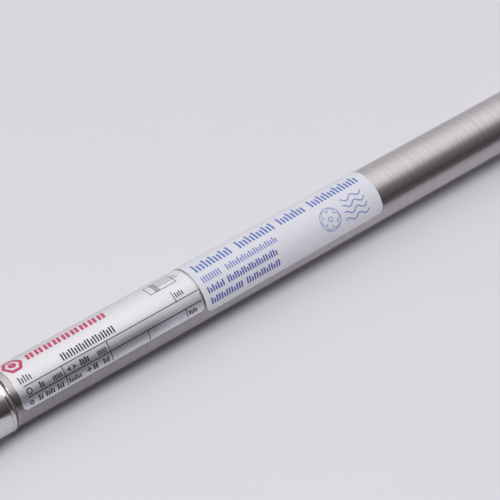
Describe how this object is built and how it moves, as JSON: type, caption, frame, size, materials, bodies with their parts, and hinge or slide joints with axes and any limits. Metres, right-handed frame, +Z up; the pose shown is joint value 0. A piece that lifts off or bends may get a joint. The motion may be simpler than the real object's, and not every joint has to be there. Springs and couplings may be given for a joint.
{
  "type": "round pneumatic cylinder",
  "caption": "Double-acting round pneumatic cylinder with a steel barrel, turned end covers, threaded nose with a hex nut, rear eye and an adjustable air cushion at each end.",
  "frame": {"origin": "centre of the bounding box's bottom face: under the middle of the length, on the plane that the nose nut's lower flat rests on", "axes": "+X along the cylinder's axis towards the rod end, +Z up through the air ports, -Y towards the cushion screws"},
  "size_m": [0.307, 0.0278, 0.024],
  "materials": {
    "barrel_steel": "ground stainless steel with fine marks round the tube",
    "rod_steel": "polished stainless steel",
    "cover_aluminium": "turned aluminium",
    "zinc_steel": "zinc-plated steel",
    "seal_rubber": "matt black",
    "bearing_polymer": "matt",
    "magnet": "sintered, dark grey",
    "label_foil": "silver foil with a clear face and printed fields",
    "sticker_vinyl": "satin white with blue print"
  },
  "bodies": {
    "housing": {"barrel_tube": "barrel_steel", "rear_cover": "cover_aluminium", "front_cover": "cover_aluminium", "rear_cover_o_ring": "seal_rubber", "front_cover_o_ring": "seal_rubber", "rod_bearing_bush": "bearing_polymer", "rod_wiper_seal": "seal_rubber", "rear_cushion_seal": "seal_rubber", "front_cushion_seal": "seal_rubber", "data_label": "label_foil", "white_sticker": "sticker_vinyl", "nose_nut": "zinc_steel"},
    "piston_rings": {"piston_guide_ring": "bearing_polymer", "piston_seal_rear": "seal_rubber", "piston_seal_front": "seal_rubber"},
    "rod_and_piston": {"piston_rod": "rod_steel", "rod_nut": "zinc_steel", "piston_rear_half": "cover_aluminium", "piston_front_half": "cover_aluminium", "magnet_ring": "magnet", "rear_cushion_sleeve": "cover_aluminium", "front_cushion_sleeve": "cover_aluminium", "rod_stub_o_ring": "seal_rubber"},
    "rear_screw_lift": {"rear_cushion_screw_o_ring": "seal_rubber"},
    "rear_screw": {"rear_cushion_screw": "zinc_steel"},
    "front_screw_lift": {"front_cushion_screw_o_ring": "seal_rubber"},
    "front_screw": {"front_cushion_screw": "zinc_steel"}
  },
  "joints": [
    {"name": "rod_slide", "type": "slide", "parent": "housing", "child": "piston_rings", "axis": [1, 0, 0], "range_m": [0, 0.2]},
    {"name": "rod_turn", "type": "hinge", "parent": "piston_rings", "child": "rod_and_piston", "pos_m": [-0.1095, 0, 0.012], "axis": [1, 0, 0], "continuous": true},
    {"name": "rear_screw_travel", "type": "slide", "parent": "housing", "child": "rear_screw_lift", "axis": [0, -1, 0], "range_m": [-0.00025, 0.001]},
    {"name": "rear_screw_turn", "type": "hinge", "parent": "rear_screw_lift", "child": "rear_screw", "pos_m": [-0.1298, -0.0089, 0.012], "axis": [0, -1, 0], "range_deg": [-181, 721]},
    {"name": "front_screw_travel", "type": "slide", "parent": "housing", "child": "front_screw_lift", "axis": [0, -1, 0], "range_m": [-0.00025, 0.001]},
    {"name": "front_screw_turn", "type": "hinge", "parent": "front_screw_lift", "child": "front_screw", "pos_m": [0.1108, -0.0089, 0.012], "axis": [0, -1, 0], "range_deg": [-181, 721]}
  ],
  "couplings": [
    {"joint": "rear_screw_turn", "follows": "rear_screw_travel", "rad_per_m": 12566},
    {"joint": "front_screw_turn", "follows": "front_screw_travel", "rad_per_m": 12566}
  ]
}
